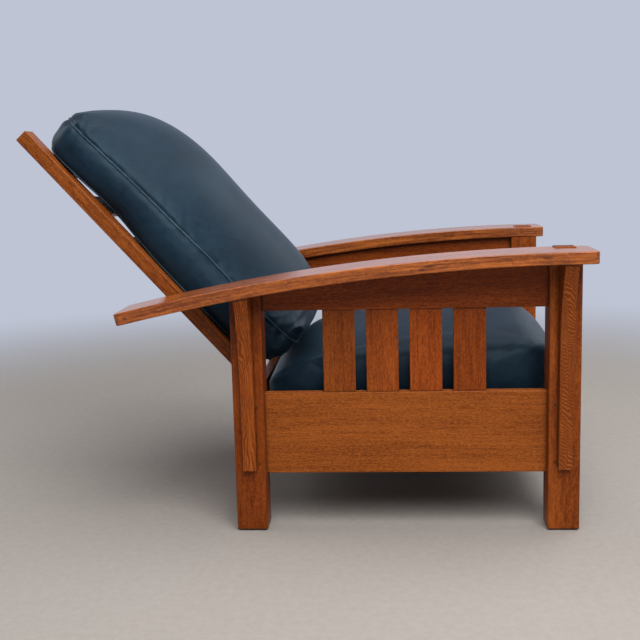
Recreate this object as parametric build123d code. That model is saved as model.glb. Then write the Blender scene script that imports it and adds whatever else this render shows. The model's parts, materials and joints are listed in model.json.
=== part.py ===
from build123d import *
from math import asin, atan2, cos, radians, sin, sqrt, tan
import os

os.makedirs("parts", exist_ok=True)

# Reclining armchair with bowed arms, slatted sides, a hinged slatted back held by two pegs,
# and loose seat and back cushions. Lengths in millimetres, angles in degrees.
# +Z is up, the chair faces -Y, and the sitter's right hand is on the -X side.

# Frame
leg_side = 66.0
leg_gap = 596.0
frame_width = 712.0
foot_chamfer = 5.0
leg_ease = 3.0
joint_gap = 0.1

# Arms, bent to one long radius that is level over the front legs. Each starts an inset
# outside the legs' inner faces and ends a tail behind its last peg hole.
arm_height = 598.5
arm_width = 136.0
arm_thickness = 25.5
arm_inset = 4.0
arm_nose = 20.0
arm_tail = 30.68
arm_bow_radius = 4200.0
arm_corner_radius = 13.0
arm_ease = 2.5

# Through tenons of the front legs and stub tenons of the rear legs
arm_tenon_deep = 43.0
arm_tenon_wide = 40.0
arm_tenon_proud = 2.5
arm_tenon_chamfer = 1.5
stub_tenon_height = 14.0

# Rails. The tops of the lower side rails and of the rear rail lie a drop under the pivot, and
# the front rail's under the seat plane. The upper side rail's depth is at the rear leg.
rail_thickness = 22.0
rail_ease = 1.5
rail_tenon = 30.0
tenon_wall = 4.0
rail_tenon_thickness = 12.0
rail_shoulder = 12.0
side_rail_bottom = 123.0
side_rail_drop = 26.5
upper_rail_depth = 43.175
front_rail_drop = 2.0
rear_rail_drop = 46.0

# Side slats
slat_count = 4
slat_width = 68.0
slat_space = 23.6
slat_thickness = 12.0
slat_tenon = 12.0

# Corbels under the arms
corbel_width = 28.5
corbel_setback = 8.0
corbel_thin = 20.0
corbel_foot = 15.0
corbel_nose = 6.0
corbel_flare = 190.0
corbel_bottom = 138.5
corbel_ease = 1.5

# Draw pins through the rail joints
draw_pin_radius = 4.5
draw_pin_length = 44.0
draw_pin_proud = 0.5
draw_pin_inset = 13.0
draw_pin_step = 27.0
cross_pin_length = 40.0

# Seat deck: a drop-in frame with webbing, on cleats, sloping down to the rear
seat_slope = 3.0
seat_height = 262.0
deck_member = 45.0
deck_thickness = 20.0
deck_gap = 1.5
deck_tenon = 18.0
deck_tenon_width = 30.0
deck_tenon_thickness = 8.0
deck_ease = 1.5
webbing_count = 7
webbing_width = 50.0
webbing_thickness = 2.0
webbing_inset = 11.0
cleat_width = 19.0
cleat_height = 25.0
screw_count = 4
screw_radius = 2.5
screw_head_radius = 5.0
screw_length = 34.0

# Back, turning on pins through the rear legs
recline = 42.0
pivot_height = 326.0
back_rise = 714.5
stile_width = 44.0
stile_thickness = 29.0
stile_clearance = 4.0
stile_heel = 22.0
stile_ease = 2.0
back_slat_count = 5
back_slat_width = 55.0
crest_slat_width = 60.0
lowest_slat_rise = 99.5
crest_offset = 54.0
back_slat_thickness = 8.5
back_slat_bow = 18.0
back_slat_setback = 8.0
back_slat_tenon = 16.0

# Pivot pins and the washers between leg and stile
pivot_radius = 6.0
pivot_depth = 46.0
pivot_head_radius = 11.0
pivot_head_height = 5.0
pivot_head_round_share = 0.5
pivot_head_gap = 0.4
pivot_running_gap = 0.05
washer_radius = 13.0
washer_gap = 0.2

# Support pegs behind the stiles, and their row of holes
peg_radius = 8.0
peg_gap = 0.3
peg_hole_gap = 0.05
peg_depth = 42.0
peg_tip_gap = 4.0
peg_pitch = 50.0
peg_holes_behind = 1
peg_holes_ahead = 2
peg_head_radius = 11.0
peg_head_length = 16.0
peg_head_round_share = 0.25
peg_neck_radius = 6.5
peg_neck_length = 3.0
peg_stile_gap = 2.0

# Cushions. The seat cushion fills the room between the legs, less its clearances. The back
# cushion's lower end rests on the seat cushion's rear round, where that leans from the seat plane.
cushion_gap = 0.3
seat_cushion_clearance = 8.0
seat_cushion_front = 22.0
seat_cushion_rear = 64.9
seat_cushion_height = 172.0
seat_cushion_draw = 46.0
seat_cushion_roll = 34.0
seat_cushion_rise = 34.0
seat_base_roll = 22.0
back_cushion_clearance = 19.0
back_cushion_length = 710.0
back_cushion_height = 217.0
back_cushion_rest = 3.57
rest_lean = 37.8
back_cushion_draw = 60.0
back_cushion_roll = 58.0
back_cushion_rise = 68.0
back_base_roll = 28.0
side_swell = 5.0
base_roll_pieces = 1
roll_pieces = 2
crown_pieces = 4

# One overrun for every cut, and one tolerance for picking edges
overrun = 1.0
pick = 0.01

# Cushion outlines from end to end, as shares of length, height, draw-in, roll and crown rise:
# along, base, top, inset, roll, rise.
seat_station_shares = [
    (0.000, 0.20, 0.66, 1.00, 0.60, 0.30),
    (0.018, 0.08, 0.80, 0.56, 0.75, 0.60),
    (0.060, 0.01, 0.92, 0.22, 0.90, 0.85),
    (0.180, 0.00, 0.99, 0.03, 1.00, 1.00),
    (0.420, 0.00, 1.00, 0.00, 1.00, 1.00),
    (0.700, 0.00, 0.99, 0.00, 1.00, 1.00),
    (0.850, 0.00, 0.92, 0.05, 1.00, 0.85),
    (0.925, 0.02, 0.73, 0.20, 0.85, 0.50),
    (0.975, 0.08, 0.58, 0.50, 0.65, 0.25),
    (1.000, 0.18, 0.46, 0.90, 0.45, 0.15),
]
back_station_shares = [
    (0.000, 0.16, 0.46, 1.00, 0.45, 0.12),
    (0.060, 0.00, 0.69, 0.22, 0.80, 0.45),
    (0.150, 0.00, 0.86, 0.05, 0.95, 0.80),
    (0.500, 0.00, 0.98, 0.00, 1.00, 1.00),
    (0.880, 0.00, 0.93, 0.05, 1.00, 0.90),
    (0.955, 0.06, 0.80, 0.25, 0.80, 0.50),
    (1.000, 0.26, 0.52, 1.00, 0.40, 0.12),
]

# Where the back cushion rests on the seat cushion, as shares of its length and height
rest_along_share = 0.931
rest_height_share = 0.715

# Sizes and places worked out from the values above
rail_recess = (leg_side - rail_thickness) / 2
cross_tenon = (leg_side - rail_tenon_thickness) / 2 - tenon_wall
base_depth = 2 * leg_side + leg_gap
side_inner = frame_width / 2 - leg_side
arm_inner = side_inner + arm_inset
arm_outer = arm_inner + arm_width
arm_overhang = arm_outer - frame_width / 2
arm_centre_z = arm_height - arm_bow_radius
corbel_reach = arm_overhang - corbel_setback
side_rail_top = pivot_height - side_rail_drop
front_rail_top = seat_height - front_rail_drop
rear_rail_top = pivot_height - rear_rail_drop
pivot_depth_y = base_depth - leg_side / 2
stile_outer = side_inner - stile_clearance
stile_inner = stile_outer - stile_width
half_stile = stile_thickness / 2
back_reach = back_rise * sin(radians(recline)) + half_stile * cos(radians(recline))
front_y = -(pivot_depth_y + back_reach - arm_nose) / 2
pivot_y = front_y + pivot_depth_y
deck_front = leg_side - rail_recess + deck_gap
deck_rear = base_depth - leg_side + rail_recess - deck_gap
deck_length = (deck_rear - deck_front) / cos(radians(seat_slope))
deck_width = 2 * (side_inner - deck_gap)
back_slat_run = back_rise - crest_offset - back_slat_width - lowest_slat_rise
back_slat_pitch = back_slat_run / (back_slat_count - 1)
peg_hole_depth = peg_depth + peg_tip_gap
seat_cushion_width = 2 * (side_inner - seat_cushion_clearance)
seat_cushion_run = base_depth - seat_cushion_front - seat_cushion_rear
seat_cushion_length = seat_cushion_run / cos(radians(seat_slope))
back_cushion_width = 2 * (side_inner - back_cushion_clearance)

SIDES = {"right": -1, "left": 1}


def box(x, y, z):
    """A box between three pairs of limits, with y measured behind the front of the legs."""
    size = (abs(x[1] - x[0]), abs(y[1] - y[0]), abs(z[1] - z[0]))
    centre = (sum(x) / 2, front_y + sum(y) / 2, sum(z) / 2)
    return Pos(*centre) * Box(*size)


def rod(radius, start, end):
    """A round rod along X, Y or Z between two points."""
    axis = Vector(*end) - Vector(*start)
    plane = Plane(origin=start, z_dir=axis)
    return extrude(plane * Circle(radius), amount=axis.length)


def arm_point(distance, depth):
    """Depth behind the legs' front and height of a point along the arm's bow."""
    turn = distance / arm_bow_radius
    radius = arm_bow_radius - depth
    return radius * sin(turn), arm_centre_z + radius * cos(turn)


def arm_underside(depth):
    """Height of the arm's underside at a depth behind the legs' front."""
    radius = arm_bow_radius - arm_thickness
    return arm_centre_z + sqrt(radius**2 - depth**2)


def side_profile(points_top, points_bottom):
    """A face in the YZ plane between two three-point arcs."""
    top = ThreePointArc(*[(front_y + y, z) for y, z in points_top])
    bottom = ThreePointArc(*[(front_y + y, z) for y, z in points_bottom])
    outline = [top, Line(top @ 1, bottom @ 1), bottom, Line(bottom @ 0, top @ 0)]
    return Plane.YZ * make_face(outline)


def arm_marks():
    """Distances along the bow of the arm's front end, middle and rear end."""
    end = back_line_distance() + peg_holes_behind * peg_pitch + arm_tail
    return -arm_nose, (end - arm_nose) / 2, end


def below_arm(gap):
    """Everything under the arm's bow, less a gap, from its nose to behind the legs."""
    reach = base_depth + arm_nose
    depths = -arm_nose, reach / 2, reach
    radius = arm_bow_radius - arm_thickness - gap
    top = ThreePointArc(*[(front_y + y, arm_centre_z + sqrt(radius**2 - y**2)) for y in depths])
    foot = [(front_y + reach, -overrun), (front_y - arm_nose, -overrun)]
    edges = [top, Line(top @ 1, foot[0]), Line(*foot), Line(foot[1], top @ 0)]
    return extrude(Plane.YZ * make_face(edges), amount=arm_outer, both=True)


def mirror_side(shape, side):
    """The shape as built on the +X side, or its mirror image on the other side."""
    return shape if side > 0 else mirror(shape, about=Plane.YZ)


def eased(shape, axis, radius):
    """The shape with its edges along one axis rounded."""
    return fillet(shape.edges().filter_by(axis), radius)


def grown(limits, gap):
    """A pair of limits moved apart by a gap at both ends."""
    return limits[0] - gap, limits[1] + gap


def socket(limits, opens_low):
    """Limits of the hole for a tenon: past its mouth at one end, a gap deeper at the other."""
    low, high = limits
    return (low - overrun, high + joint_gap) if opens_low else (low - joint_gap, high + overrun)


# Places of the joints, as pairs of limits

upper_rail_bottom = arm_underside(base_depth - leg_side) - upper_rail_depth


def leg_limits(rear):
    start = base_depth - leg_side if rear else 0
    return start, start + leg_side


def rail_tenon_limits(rear):
    """Depth limits of the side rails' tenons inside a leg."""
    face = base_depth - leg_side if rear else leg_side
    return (face, face + rail_tenon) if rear else (face - rail_tenon, face)


rail_x = (frame_width / 2 - rail_recess - rail_thickness, frame_width / 2 - rail_recess)
rail_mid_x = sum(rail_x) / 2
side_tenon_x = (rail_mid_x - rail_tenon_thickness / 2, rail_mid_x + rail_tenon_thickness / 2)
cross_tenon_x = (side_inner, side_inner + cross_tenon)


def cross_rail_y(rear):
    middle = base_depth - leg_side / 2 if rear else leg_side / 2
    return middle - rail_thickness / 2, middle + rail_thickness / 2


def cross_tenon_y(rear):
    middle = sum(cross_rail_y(rear)) / 2
    return middle - rail_tenon_thickness / 2, middle + rail_tenon_thickness / 2


def cross_rail_z(rear):
    return side_rail_bottom, rear_rail_top if rear else front_rail_top


def tenon_z(low, high):
    return low + rail_shoulder, high - rail_shoulder


def upper_tenon_z(rear):
    """Height limits of the upper rail's tenon at its lowest point inside a leg."""
    depth = rail_tenon_limits(rear)[1]
    return tenon_z(upper_rail_bottom, arm_underside(depth))


def arm_tenon_limits(rear):
    middle = sum(leg_limits(rear)) / 2
    return middle - arm_tenon_deep / 2, middle + arm_tenon_deep / 2


leg_mid_x = frame_width / 2 - leg_side / 2
arm_tenon_x = (leg_mid_x - arm_tenon_wide / 2, leg_mid_x + arm_tenon_wide / 2)


def side_pins():
    """Start and end of each draw pin through a side joint, on the +X side."""
    pins = []
    for rear in (False, True):
        face = base_depth - leg_side if rear else leg_side
        depth = face + draw_pin_inset if rear else face - draw_pin_inset
        for z in (side_rail_bottom + draw_pin_step, side_rail_top - draw_pin_step):
            start = (frame_width / 2 + draw_pin_proud, front_y + depth, z)
            pins.append((start, (start[0] - draw_pin_length, start[1], z)))
    return pins


def cross_pins():
    """Start and end of each draw pin through a front or rear rail joint, on the +X side."""
    pins = []
    for rear in (False, True):
        low, high = cross_rail_z(rear)
        face = base_depth + draw_pin_proud if rear else -draw_pin_proud
        inward = -cross_pin_length if rear else cross_pin_length
        for z in (low + draw_pin_step, high - draw_pin_step):
            start = (side_inner + draw_pin_inset, front_y + face, z)
            pins.append((start, (start[0], start[1] + inward, z)))
    return pins


def pin_holes():
    return [rod(draw_pin_radius + joint_gap, *pin) for pin in side_pins() + cross_pins()]


# Frame pieces, each built on the +X side


def make_leg(rear):
    """A square post with its joints cut, a chamfered foot and a tenon into the arm."""
    y = leg_limits(rear)
    x = (side_inner, frame_width / 2)
    leg = box(x, y, (0, arm_height))
    leg = chamfer(leg.faces().sort_by(Axis.Z)[0].edges(), foot_chamfer)
    leg = eased(leg, Axis.Z, leg_ease)
    leg = leg & below_arm(joint_gap)
    tenon_y = arm_tenon_limits(rear)
    low = arm_underside(y[1]) - stub_tenon_height
    stub_top = arm_underside(tenon_y[1]) + stub_tenon_height
    high = stub_top if rear else arm_height + arm_tenon_proud
    tenon = box(arm_tenon_x, tenon_y, (low, high))
    tenon = chamfer(tenon.faces().sort_by(Axis.Z)[-1].edges(), arm_tenon_chamfer)
    leg = leg + tenon
    side_y = socket(rail_tenon_limits(rear), opens_low=rear)
    side_x = grown(side_tenon_x, joint_gap)
    leg -= box(side_x, side_y, grown(tenon_z(side_rail_bottom, side_rail_top), joint_gap))
    leg -= box(side_x, side_y, grown(upper_tenon_z(rear), joint_gap))
    cross_x = socket(cross_tenon_x, opens_low=True)
    cross_z = grown(tenon_z(*cross_rail_z(rear)), joint_gap)
    leg -= box(cross_x, grown(cross_tenon_y(rear), joint_gap), cross_z)
    for hole in pin_holes():
        leg -= hole
    if rear:
        bore_end = (side_inner + pivot_depth + joint_gap, pivot_y, pivot_height)
        leg -= rod(pivot_radius + joint_gap, (side_inner - overrun, pivot_y, pivot_height), bore_end)
    return leg


def peg_spots():
    """Distances along the bow of the peg holes, which lie ahead of and behind the pegs."""
    back = back_line_distance()
    return [back + step * peg_pitch for step in range(-peg_holes_ahead, peg_holes_behind + 1)]


def back_line_distance():
    """Distance along the bow where a peg just touches the rear of a stile at rest."""
    lean = radians(recline)
    offset = half_stile + peg_radius + peg_gap
    radius = arm_bow_radius - arm_thickness / 2
    along = (sin(lean), cos(lean))
    start = (pivot_depth_y + offset * cos(lean), pivot_height - offset * sin(lean) - arm_centre_z)
    half_b = start[0] * along[0] + start[1] * along[1]
    spare = start[0] ** 2 + start[1] ** 2 - radius**2
    run = -half_b + sqrt(half_b**2 - spare)
    return arm_bow_radius * asin((start[0] + run * along[0]) / radius)


def peg_place(distance):
    y, z = arm_point(distance, arm_thickness / 2)
    return front_y + y, z


def make_arm():
    """A flat board bent to the bow, with rounded corners, mortises and a row of peg holes."""
    marks = arm_marks()
    top = [arm_point(mark, 0) for mark in marks]
    bottom = [arm_point(mark, arm_thickness) for mark in marks]
    arm = Pos(arm_inner, 0, 0) * extrude(side_profile(top, bottom), amount=arm_width)
    corners = arm.edges().filter_by(lambda e: abs(e.length - arm_thickness) < pick)
    arm = fillet(corners, arm_corner_radius)
    rims = arm.edges().filter_by(lambda e: abs(e.length - arm_thickness) > pick)
    arm = fillet(rims, arm_ease)
    blind_top = arm_underside(arm_tenon_limits(True)[1]) + stub_tenon_height + joint_gap
    for rear, mortise_top in ((False, arm_height + overrun), (True, blind_top)):
        mortise_y = grown(arm_tenon_limits(rear), joint_gap)
        arm -= box(grown(arm_tenon_x, joint_gap), mortise_y, (0, mortise_top))
    for distance in peg_spots():
        y, z = peg_place(distance)
        hole_end = (arm_inner + peg_hole_depth, y, z)
        arm -= rod(peg_radius + peg_hole_gap, (arm_inner - overrun, y, z), hole_end)
    return arm


def slat_starts():
    """Front limit of each side slat, with the row centred between the legs."""
    row = slat_count * slat_width + (slat_count - 1) * slat_space
    first = leg_side + (leg_gap - row) / 2
    return [first + n * (slat_width + slat_space) for n in range(slat_count)]


slat_x = (rail_mid_x - slat_thickness / 2, rail_mid_x + slat_thickness / 2)


def slat_limits(start):
    return start, start + slat_width


def slat_mortises(z):
    return [box(grown(slat_x, joint_gap), grown(slat_limits(s), joint_gap), z) for s in slat_starts()]


def make_lower_side_rail():
    """A deep straight rail with a tenon at each end and a mortise for each slat."""
    z = (side_rail_bottom, side_rail_top)
    rail = eased(box(rail_x, (leg_side, base_depth - leg_side), z), Axis.Y, rail_ease)
    rail += box(side_tenon_x, (leg_side - rail_tenon, base_depth - leg_side + rail_tenon), tenon_z(*z))
    mortise_z = socket((side_rail_top - slat_tenon, side_rail_top), opens_low=False)
    for mortise in slat_mortises(mortise_z):
        rail -= mortise
    for hole in pin_holes():
        rail -= hole
    return rail


def make_upper_side_rail():
    """A rail whose top follows the arm's bow, so that it tapers to the rear."""
    z = (upper_rail_bottom, arm_height)
    rail = eased(box(rail_x, (leg_side, base_depth - leg_side), z), Axis.Y, rail_ease)
    rail = rail & below_arm(joint_gap)
    for rear in (False, True):
        y = rail_tenon_limits(rear)
        rail += box(side_tenon_x, y, upper_tenon_z(rear))
    mortise_z = socket((upper_rail_bottom, upper_rail_bottom + slat_tenon), opens_low=True)
    for mortise in slat_mortises(mortise_z):
        rail -= mortise
    return rail


def make_side_slat(start):
    z = (side_rail_top - slat_tenon, upper_rail_bottom + slat_tenon)
    return eased(box(slat_x, slat_limits(start), z), Axis.Z, rail_ease)


def make_corbel(rear):
    """A bracket that is thin at its foot and sweeps out in a hollow curve to carry the arm."""
    middle = sum(leg_limits(rear)) / 2
    face = frame_width / 2
    top = arm_underside(middle)
    flare_top = top - corbel_nose
    step = corbel_reach - corbel_thin
    radius = (step**2 + corbel_flare**2) / (2 * step)
    turn = asin(corbel_flare / radius) / 2
    flare_foot = (face + corbel_thin, flare_top - corbel_flare)
    hollow = (flare_foot[0] + radius - radius * cos(turn), flare_foot[1] + radius * sin(turn))
    outline = [
        Line((face, corbel_bottom), (face + corbel_foot, corbel_bottom)),
        Line((face + corbel_foot, corbel_bottom), flare_foot),
        ThreePointArc(flare_foot, hollow, (face + corbel_reach, flare_top)),
        Line((face + corbel_reach, flare_top), (face + corbel_reach, arm_height)),
        Line((face + corbel_reach, arm_height), (face, arm_height)),
        Line((face, arm_height), (face, corbel_bottom)),
    ]
    plane = Plane(origin=(0, front_y + middle, 0), x_dir=(1, 0, 0), z_dir=(0, -1, 0))
    corbel = extrude(plane * make_face(outline), amount=corbel_width / 2, both=True)
    rims = corbel.edges().filter_by(lambda e: abs(e.tangent_at(0).Y) < pick)
    rims = rims.filter_by(lambda e: e.center().X > face + pick and e.center().Z < arm_height - pick)
    return fillet(rims, corbel_ease) & below_arm(joint_gap)


def make_cross_rail(rear):
    z = cross_rail_z(rear)
    rail = eased(box((-side_inner, side_inner), cross_rail_y(rear), z), Axis.X, rail_ease)
    reach = side_inner + cross_tenon
    rail += box((-reach, reach), cross_tenon_y(rear), tenon_z(*z))
    for hole in pin_holes():
        rail -= hole + mirror(hole, about=Plane.YZ)
    for screw in cleat_screws(rear):
        rail -= screw
    return rail


# Seat deck


def seat_line(depth):
    """Height of the seat plane, the webbing's top, at a depth behind the legs' front."""
    return seat_height - (depth - deck_front) * tan(radians(seat_slope))


def deck_place():
    """The deck's own frame: origin at its front edge on the seat plane, +Y down the slope."""
    return Location((0, front_y + deck_front, seat_height), (-seat_slope, 0, 0))


def deck_box(x, y, z):
    size = (abs(x[1] - x[0]), abs(y[1] - y[0]), abs(z[1] - z[0]))
    return Pos(sum(x) / 2, sum(y) / 2, sum(z) / 2) * Box(*size)


deck_z = (-webbing_thickness - deck_thickness, -webbing_thickness)
deck_mid_z = sum(deck_z) / 2
deck_tenon_z = (deck_mid_z - deck_tenon_thickness / 2, deck_mid_z + deck_tenon_thickness / 2)
deck_side_x = (deck_width - deck_member) / 2
deck_tenon_x = (deck_side_x - deck_tenon_width / 2, deck_side_x + deck_tenon_width / 2)


def make_deck_cross(rear):
    """The front or rear member of the drop-in frame."""
    start = deck_length - deck_member if rear else 0
    member = deck_box((-deck_width / 2, deck_width / 2), (start, start + deck_member), deck_z)
    member = eased(member, Axis.X, deck_ease)
    tenon_y = (start, start + deck_tenon) if rear else (deck_member - deck_tenon, deck_member)
    mortise_y = socket(tenon_y, opens_low=rear)
    mortise = deck_box(grown(deck_tenon_x, joint_gap), mortise_y, grown(deck_tenon_z, joint_gap))
    return deck_place() * (member - mortise - mirror(mortise, about=Plane.YZ))


def make_deck_side():
    inner = (deck_member, deck_length - deck_member)
    member = deck_box((deck_width / 2 - deck_member, deck_width / 2), inner, deck_z)
    member = eased(member, Axis.Y, deck_ease)
    member += deck_box(deck_tenon_x, grown(inner, deck_tenon), deck_tenon_z)
    return deck_place() * member


def make_webbing():
    """Straps stretched across the deck and tacked down on its side members."""
    room = deck_length - 2 * deck_member
    space = (room - webbing_count * webbing_width) / (webbing_count + 1)
    x = deck_width / 2 - webbing_inset
    straps = []
    for n in range(webbing_count):
        start = deck_member + space + n * (webbing_width + space)
        straps.append(deck_box((-x, x), (start, start + webbing_width), (-webbing_thickness, 0)))
    return Compound(children=[deck_place() * strap for strap in straps])


def cleat_drop():
    """How far the cleats' tops lie under the seat plane, measured upright."""
    return (webbing_thickness + deck_thickness) / cos(radians(seat_slope)) + joint_gap


def make_cleat(rear):
    """A ledge along the inside of a cross rail, its top cut to the deck's slope."""
    rail = cross_rail_y(rear)
    y = (rail[0] - cleat_width, rail[0]) if rear else (rail[1], rail[1] + cleat_width)
    tops = [seat_line(depth) - cleat_drop() for depth in y]
    foot = min(tops) - cleat_height
    corners = [(y[0], foot), (y[1], foot), (y[1], tops[1]), (y[0], tops[0])]
    outline = Polyline(*[(front_y + depth, z) for depth, z in corners], close=True)
    x = side_inner - deck_gap
    cleat = extrude(Plane.YZ * make_face(outline), amount=x, both=True)
    for screw in cleat_screws(rear):
        cleat -= screw
    return cleat


def screw_spots(rear):
    """Head centre of each cleat screw and the direction it runs."""
    rail = cross_rail_y(rear)
    face = rail[0] - cleat_width if rear else rail[1] + cleat_width
    z = seat_line(face) - cleat_drop() - cleat_height / 2
    step = 2 * side_inner / screw_count
    xs = [-side_inner + step / 2 + n * step for n in range(screw_count)]
    return [(x, front_y + face, z) for x in xs], 1 if rear else -1


def countersunk_screw(spot, way, grow):
    """A flat-headed screw along Y, or the hole that takes it."""
    radius = screw_radius + grow
    head = screw_head_radius + grow
    length = screw_length + grow
    run = head - radius
    outline = Polyline((0, 0), (head, 0), (radius, run), (radius, length), (0, length), close=True)
    screw = revolve(Plane.XY * make_face(outline), Axis.Y)
    return Pos(*spot) * (screw if way > 0 else mirror(screw, about=Plane.XZ))


def cleat_screws(rear, grow=joint_gap):
    spots, way = screw_spots(rear)
    return [countersunk_screw(spot, way, grow) for spot in spots]


# Back, built upright about its pivot and then leaned to its rest


def back_place():
    return Location((0, pivot_y, pivot_height), (-recline, 0, 0))


def back_slat_limits():
    """Height limits above the pivot of each back slat, from the crest down."""
    limits = []
    for n in range(back_slat_count):
        top = back_rise - crest_offset - n * back_slat_pitch
        width = crest_slat_width if n == 0 else back_slat_width
        limits.append((top - width, top))
    return limits


def back_slat_shape(z, gap):
    """A bent slat: straight tenons in the stiles and one hollow curve between them."""
    front = -half_stile + back_slat_setback - gap
    rear = front + back_slat_thickness + 2 * gap
    reach = stile_inner + back_slat_tenon + gap
    faces = []
    for start, depth in ((-stile_inner, front), (stile_inner, rear)):
        faces.append(ThreePointArc((start, depth), (0, depth + back_slat_bow), (-start, depth)))
    near, far = faces
    outline = [
        near,
        Line((stile_inner, front), (reach, front)),
        Line((reach, front), (reach, rear)),
        Line((reach, rear), (stile_inner, rear)),
        far,
        Line((-stile_inner, rear), (-reach, rear)),
        Line((-reach, rear), (-reach, front)),
        Line((-reach, front), (-stile_inner, front)),
    ]
    slat = extrude(Plane.XY * make_face(outline), amount=z[1] - z[0] + 2 * gap)
    return Pos(0, 0, z[0] - gap) * slat


def make_back_slat(z):
    return back_place() * back_slat_shape(z, 0)


def make_stile():
    """A straight post, rounded about its pivot, with a mortise for each slat."""
    middle = (stile_outer + stile_inner) / 2
    body = Pos(middle, 0, back_rise / 2) * Box(stile_width, stile_thickness, back_rise)
    body = chamfer(body.faces().sort_by(Axis.Z)[-1].edges(), stile_ease)
    body = eased(body, Axis.Z, stile_ease)
    heel = stile_heel - half_stile
    foot = Pos(middle, 0, -heel / 2) * Box(stile_width, stile_thickness, heel)
    foot = eased(foot, Axis.Z, stile_ease)
    toe = rod(half_stile, (stile_inner, 0, -heel), (stile_outer, 0, -heel))
    stile = body + foot + toe
    for z in back_slat_limits():
        stile -= back_slat_shape(z, joint_gap)
    bore_x = grown((stile_inner, stile_outer), overrun)
    bore = rod(pivot_radius + pivot_running_gap, (bore_x[0], 0, 0), (bore_x[1], 0, 0))
    return back_place() * (stile - bore)


def make_pivot_pin():
    """A headed pin from inside the stile, through the washer, into the rear leg."""
    head_face = stile_inner - pivot_head_gap
    pin = rod(pivot_radius, (head_face, 0, 0), (side_inner + pivot_depth, 0, 0))
    head = rod(pivot_head_radius, (head_face - pivot_head_height, 0, 0), (head_face, 0, 0))
    head = fillet(head.edges().sort_by(Axis.X)[0], pivot_head_round_share * pivot_head_height)
    return Pos(0, pivot_y, pivot_height) * (pin + head)


def make_washer():
    x = (stile_outer + washer_gap, side_inner - washer_gap)
    disc = rod(washer_radius, (x[0], 0, 0), (x[1], 0, 0))
    hole = rod(pivot_radius + joint_gap, (x[0] - overrun, 0, 0), (x[1] + overrun, 0, 0))
    return Pos(0, pivot_y, pivot_height) * (disc - hole)


def make_peg():
    """A turned peg: a shaft in the arm and behind the stile, a neck and a round head."""
    y, z = peg_place(back_line_distance())
    tip = arm_inner + peg_depth
    shaft_end = stile_inner - peg_stile_gap
    neck_end = shaft_end - peg_neck_length
    head_end = neck_end - peg_head_length
    peg = rod(peg_radius, (shaft_end, y, z), (tip, y, z))
    peg = chamfer(peg.edges().sort_by(Axis.X)[-1], arm_tenon_chamfer)
    neck = rod(peg_neck_radius, (neck_end, y, z), (shaft_end, y, z))
    head = rod(peg_head_radius, (head_end, y, z), (neck_end, y, z))
    head = fillet(head.edges().filter_by(GeomType.CIRCLE), peg_head_round_share * peg_head_length)
    return peg + neck + head


# Cushions


def arc_run(centre, radius, start, end, pieces):
    """One arc about a centre, from one angle to another, in several equal pieces."""
    step = (end - start) / (2 * pieces)
    turns = [start + n * step for n in range(2 * pieces + 1)]
    spots = [(centre[0] + radius * cos(turn), centre[1] + radius * sin(turn)) for turn in turns]
    return [ThreePointArc(*spots[n : n + 3]) for n in range(0, 2 * pieces, 2)]


def cushion_slice(half, base, top, roll, rise, base_roll):
    """One outline across a cushion: flat base, rolled edges, swelling sides, arched crown."""
    flat = half - roll
    crown_radius = (flat**2 + rise**2) / (2 * rise)
    centre = top - crown_radius
    lean = atan2(sqrt((crown_radius - roll) ** 2 - flat**2), flat)
    edge_height = centre + (crown_radius - roll) * sin(lean)
    low = base + base_roll
    middle = (half + side_swell, (low + edge_height) / 2)
    right = arc_run((half - base_roll, low), base_roll, -radians(90), 0, base_roll_pieces)
    right += [ThreePointArc((half, low), middle, (half, edge_height))]
    right += arc_run((flat, edge_height), roll, 0, lean, roll_pieces)
    crown = arc_run((0, centre), crown_radius, lean, radians(180) - lean, crown_pieces)
    left = [mirror(edge, about=Plane.YZ) for edge in reversed(right)]
    foot = Line((-half + base_roll, base), (half - base_roll, base))
    return make_face([foot] + right + crown + left)


def cushion(shares, length, width, height, draw, roll, rise, base_roll):
    """A cushion lying along +Y, its base on the XY plane, lofted through its stations."""
    slices = []
    for along, base, top, inset, roll_share, rise_share in shares:
        plane = Plane(origin=(0, along * length, 0), x_dir=(1, 0, 0), z_dir=(0, -1, 0))
        half = width / 2 - side_swell - inset * draw
        rolls = roll_share * roll, rise_share * rise, roll_share * base_roll
        slices.append(plane * cushion_slice(half, base * height, top * height, *rolls))
    bed = Pos(0, length / 2, -height / 2) * Box(2 * width, 2 * length, height)
    return loft(slices) - bed


def make_seat_cushion():
    shape = cushion(
        seat_station_shares,
        seat_cushion_length,
        seat_cushion_width,
        seat_cushion_height,
        seat_cushion_draw,
        seat_cushion_roll,
        seat_cushion_rise,
        seat_base_roll,
    )
    return deck_place() * Pos(0, seat_cushion_front - deck_front, cushion_gap) * shape


def back_cushion_foot():
    """Distance above the pivot of the back cushion's lower end, a gap clear of the seat cushion."""
    lean = radians(rest_lean + seat_slope)
    away = Vector(0, sin(lean), cos(lean))
    rise = Vector(0, sin(radians(recline)), cos(radians(recline)))
    along = seat_cushion_front - deck_front + rest_along_share * seat_cushion_length
    spot = deck_place() * Pos(0, along, cushion_gap + rest_height_share * seat_cushion_height)
    feet = []
    for share in back_station_shares[-1][1:3]:
        depth = half_stile + cushion_gap + share * back_cushion_height
        corner = back_place() * Pos(0, -depth, 0)
        gap = (spot.position - corner.position).dot(away) + back_cushion_rest
        feet.append(gap / rise.dot(away))
    return max(feet)


def make_back_cushion():
    shape = cushion(
        back_station_shares,
        back_cushion_length,
        back_cushion_width,
        back_cushion_height,
        back_cushion_draw,
        back_cushion_roll,
        back_cushion_rise,
        back_base_roll,
    )
    top = back_cushion_foot() + back_cushion_length
    lie = Location((0, -half_stile - cushion_gap, top), (90, 0, 0))
    return back_place() * lie * Rot(0, 0, 180) * shape


# Writing


def save(shape, node):
    export_step(shape, f"parts/{node}.step")


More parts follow.
